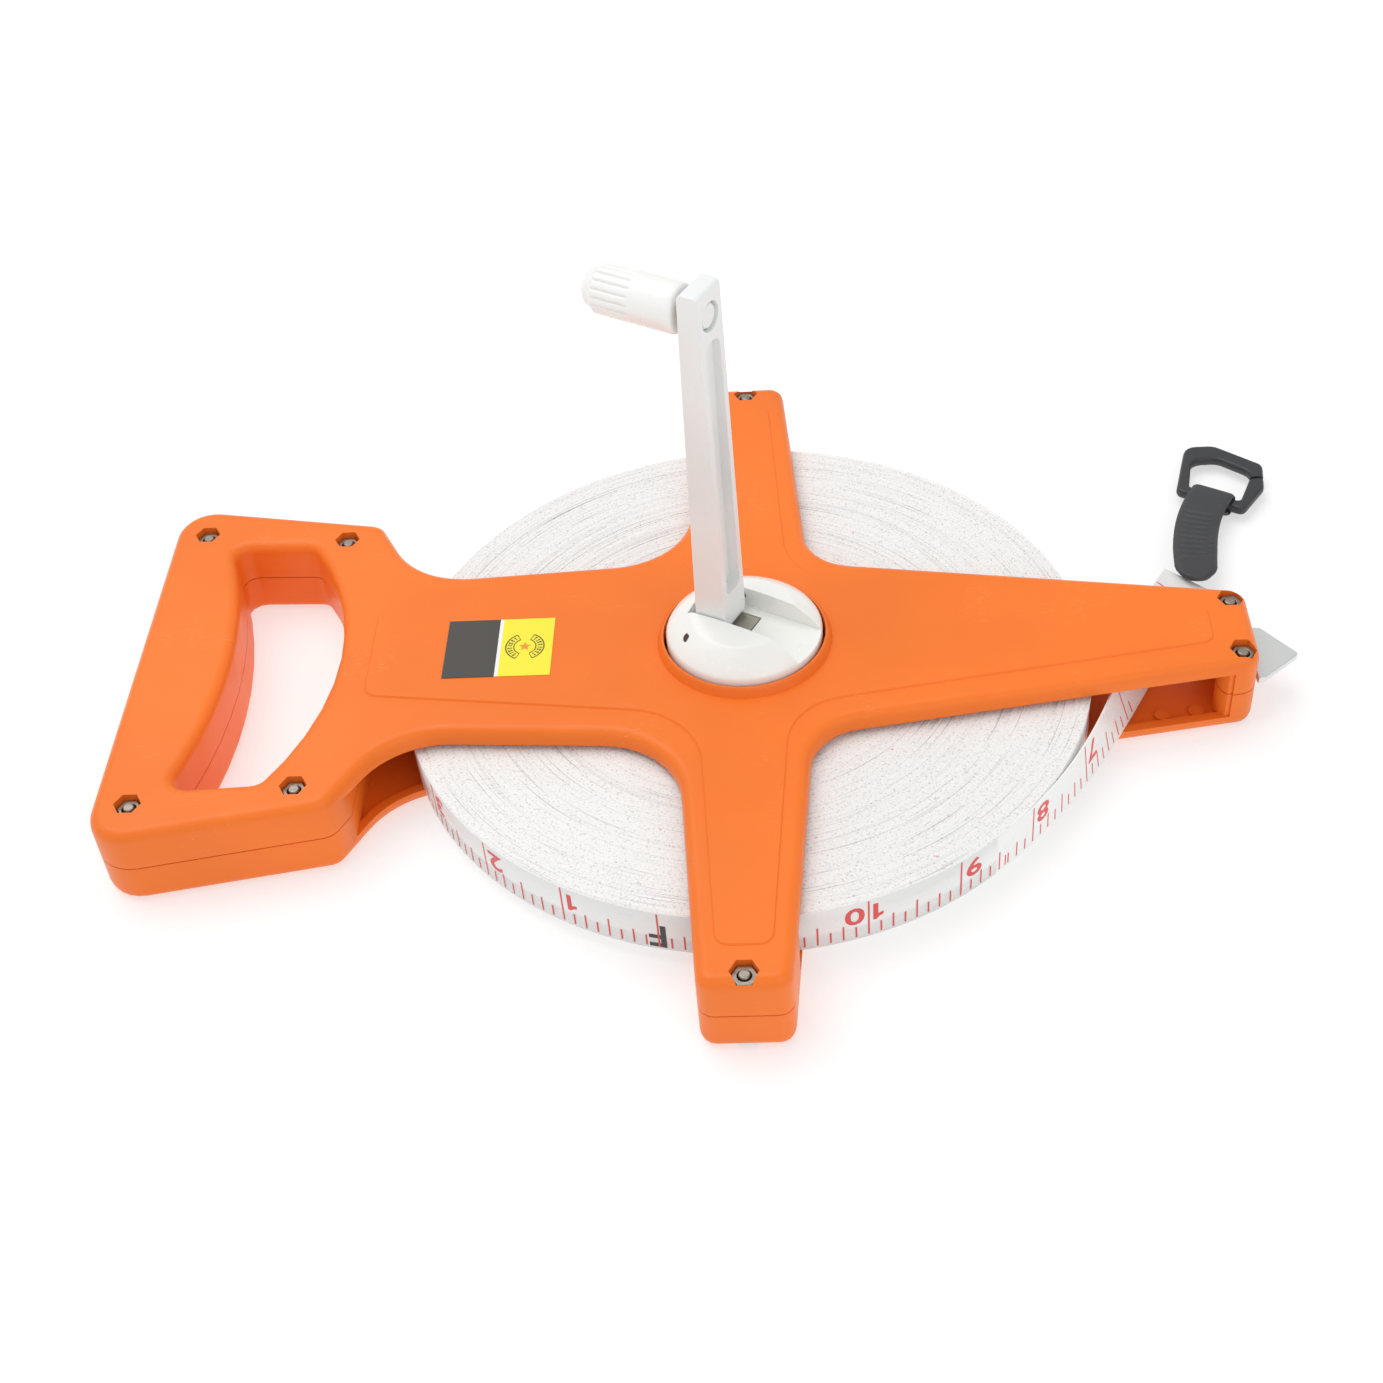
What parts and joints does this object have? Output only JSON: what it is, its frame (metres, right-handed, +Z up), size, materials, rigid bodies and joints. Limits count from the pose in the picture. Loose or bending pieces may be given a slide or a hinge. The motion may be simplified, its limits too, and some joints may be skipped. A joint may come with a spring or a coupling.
{
  "type": "tape measure",
  "caption": "Long open-reel tape measure with a T-shaped grip, a two-part moulded frame, a folding winding crank, a ground spike and an end ring.",
  "frame": {"origin": "on the flat rear face, where the reel's axis meets it", "axes": "+Z up out of the front face along the reel's axis, +X towards the ground spike in the nose, -X towards the grip"},
  "size_m": [0.3172, 0.2296, 0.131],
  "materials": {
    "frame_orange": "fine moulded, satin",
    "reel_orange": "fine moulded, satin",
    "zinc_steel": "zinc plated",
    "spike_steel": "brushed, plated",
    "label_film": "printed film",
    "tape_white": "coated fibreglass",
    "hub_white": "moulded, semi gloss",
    "crank_white": "moulded, semi gloss",
    "knob_white": "moulded, semi gloss",
    "axle_brass": "turned",
    "tab_black": "soft moulded",
    "ring_black": "moulded"
  },
  "bodies": {
    "frame": {"front_frame": "frame_orange", "rear_frame": "frame_orange", "frame_nut_1": "zinc_steel", "frame_nut_2": "zinc_steel", "frame_nut_3": "zinc_steel", "frame_nut_4": "zinc_steel", "frame_nut_5": "zinc_steel", "frame_nut_6": "zinc_steel", "frame_nut_7": "zinc_steel", "frame_nut_8": "zinc_steel", "frame_bolt_1": "zinc_steel", "frame_bolt_2": "zinc_steel", "frame_bolt_3": "zinc_steel", "frame_bolt_4": "zinc_steel", "frame_bolt_5": "zinc_steel", "frame_bolt_6": "zinc_steel", "frame_bolt_7": "zinc_steel", "frame_bolt_8": "zinc_steel", "ground_spike": "spike_steel", "label_plate": "label_film", "tape_lead_in": "tape_white"},
    "reel": {"reel_drum": "reel_orange", "tape_pack": "tape_white", "crank_hub": "hub_white", "crank_hinge_pin": "zinc_steel", "detent_spring": "zinc_steel"},
    "crank": {"crank_arm": "crank_white", "knob_axle": "axle_brass"},
    "knob": {"knob_grip": "knob_white"},
    "tape_end": {"tape_leader": "tape_white", "end_tab": "tab_black"},
    "ring": {"end_ring": "ring_black"}
  },
  "joints": [
    {"name": "reel_spin", "type": "hinge", "parent": "frame", "child": "reel", "pos_m": [0, 0, 0], "axis": [0, 0, 1], "range_deg": [-12.6, 360]},
    {"name": "crank_fold", "type": "hinge", "parent": "reel", "child": "crank", "pos_m": [-0.00455, 0.00252, 0.0317], "axis": [0.4848, 0.8746, 0], "range_deg": [0, 90]},
    {"name": "knob_spin", "type": "hinge", "parent": "crank", "child": "knob", "pos_m": [-0.00978, 0.00485, 0.1237], "axis": [-0.8746, 0.4848, 0], "continuous": true},
    {"name": "tape_pull", "type": "slide", "parent": "frame", "child": "tape_end", "axis": [0.358, 0.9337, 0], "range_m": [-0.02, 0.5706]},
    {"name": "ring_swing", "type": "hinge", "parent": "tape_end", "child": "ring", "pos_m": [0.1361, 0.0767, 0.0036], "axis": [0.866, -0.5, 0], "range_deg": [0, 150]}
  ],
  "couplings": [
    {"joint": "tape_pull", "follows": "reel_spin", "m_per_rad": 0.0908}
  ]
}
